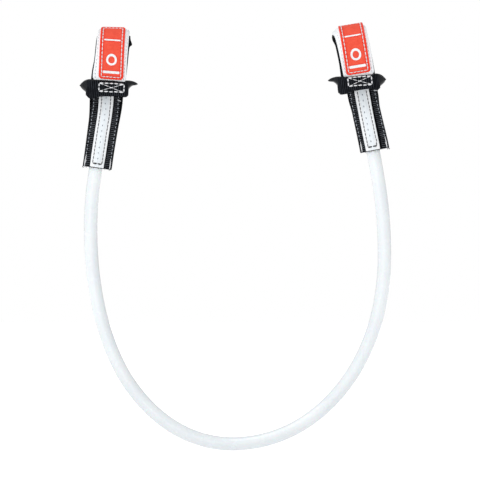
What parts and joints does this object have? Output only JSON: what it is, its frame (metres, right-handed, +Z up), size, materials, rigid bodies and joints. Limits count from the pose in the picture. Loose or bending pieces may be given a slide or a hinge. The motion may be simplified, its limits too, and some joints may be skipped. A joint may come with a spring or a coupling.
{
  "type": "windsurfing harness line",
  "caption": "Tube-covered line hanging in a U, with a hook-and-loop boom strap and saddle at each end, for hooking a sailor's harness to a windsurfing boom.",
  "frame": {"origin": "the boom's axis at the middle of the left boom strap", "axes": "+X along the boom from the left strap to the right strap, +Z up, -Y towards the sailor, which is the front with the orange patches"},
  "size_m": [0.2791, 0.0412, 0.3856],
  "materials": {
    "black_plastic": "satin moulded plastic",
    "black_band": "ribbed nylon webbing",
    "black_webbing": "woven nylon webbing",
    "ribbed_webbing": "ribbed nylon webbing",
    "loop_pile": "looped pile",
    "hook_tape": "nylon hooks on tape",
    "white_pad": "coated padded fabric",
    "white_tape": "smooth coated tape",
    "white_thread": "bonded sewing thread",
    "orange_rubber": "moulded soft rubber",
    "white_rubber": "moulded soft rubber",
    "white_tube": "glossy polyurethane",
    "rope": "braided polyester"
  },
  "bodies": {
    "left_strap_body": {"left_saddle": "black_plastic", "left_keeper_band": "black_band", "left_keeper_stitching": "white_thread", "left_boom_strap": "black_webbing", "left_loop_tape": "loop_pile"},
    "left_tab_body": {"left_hook_tape": "hook_tape", "left_tab_pad": "white_pad", "left_grip_patch": "orange_rubber", "left_patch_bar": "white_rubber", "left_patch_badge": "white_rubber"},
    "line_body": {"left_leg_front_webbing": "ribbed_webbing", "left_leg_back_webbing": "ribbed_webbing", "left_leg_stripe": "white_tape", "left_leg_stitching": "white_thread", "line_tube": "white_tube", "core_rope": "rope", "right_leg_front_webbing": "ribbed_webbing", "right_leg_back_webbing": "ribbed_webbing", "right_leg_stripe": "white_tape", "right_leg_stitching": "white_thread"},
    "right_strap_body": {"right_saddle": "black_plastic", "right_keeper_band": "black_band", "right_keeper_stitching": "white_thread", "right_boom_strap": "black_webbing", "right_loop_tape": "loop_pile"},
    "right_tab_body": {"right_hook_tape": "hook_tape", "right_tab_pad": "white_pad", "right_grip_patch": "orange_rubber", "right_patch_bar": "white_rubber", "right_patch_badge": "white_rubber"}
  },
  "joints": [
    {"name": "line_swing", "type": "hinge", "parent": "left_strap_body", "child": "line_body", "pos_m": [-0.00464, 0, -0.04076], "axis": [0.9999, 0, 0.0135], "range_deg": [-65, 65]},
    {"name": "right_strap_swing", "type": "hinge", "parent": "line_body", "child": "right_strap_body", "pos_m": [0.22568, 0, -0.03765], "axis": [0.9999, 0, 0.0135], "range_deg": [-65, 65]},
    {"name": "left_tab_peel", "type": "hinge", "parent": "left_strap_body", "child": "left_tab_body", "pos_m": [0.00005, -0.01336, -0.01633], "axis": [0.9971, 0, -0.0767], "range_deg": [0, 85]},
    {"name": "right_tab_peel", "type": "hinge", "parent": "right_strap_body", "child": "right_tab_body", "pos_m": [0.22085, -0.01336, -0.0134], "axis": [0.9866, 0, 0.1633], "range_deg": [0, 85]}
  ],
  "couplings": [
    {"joint": "right_strap_swing", "follows": "line_swing", "ratio": -1}
  ]
}
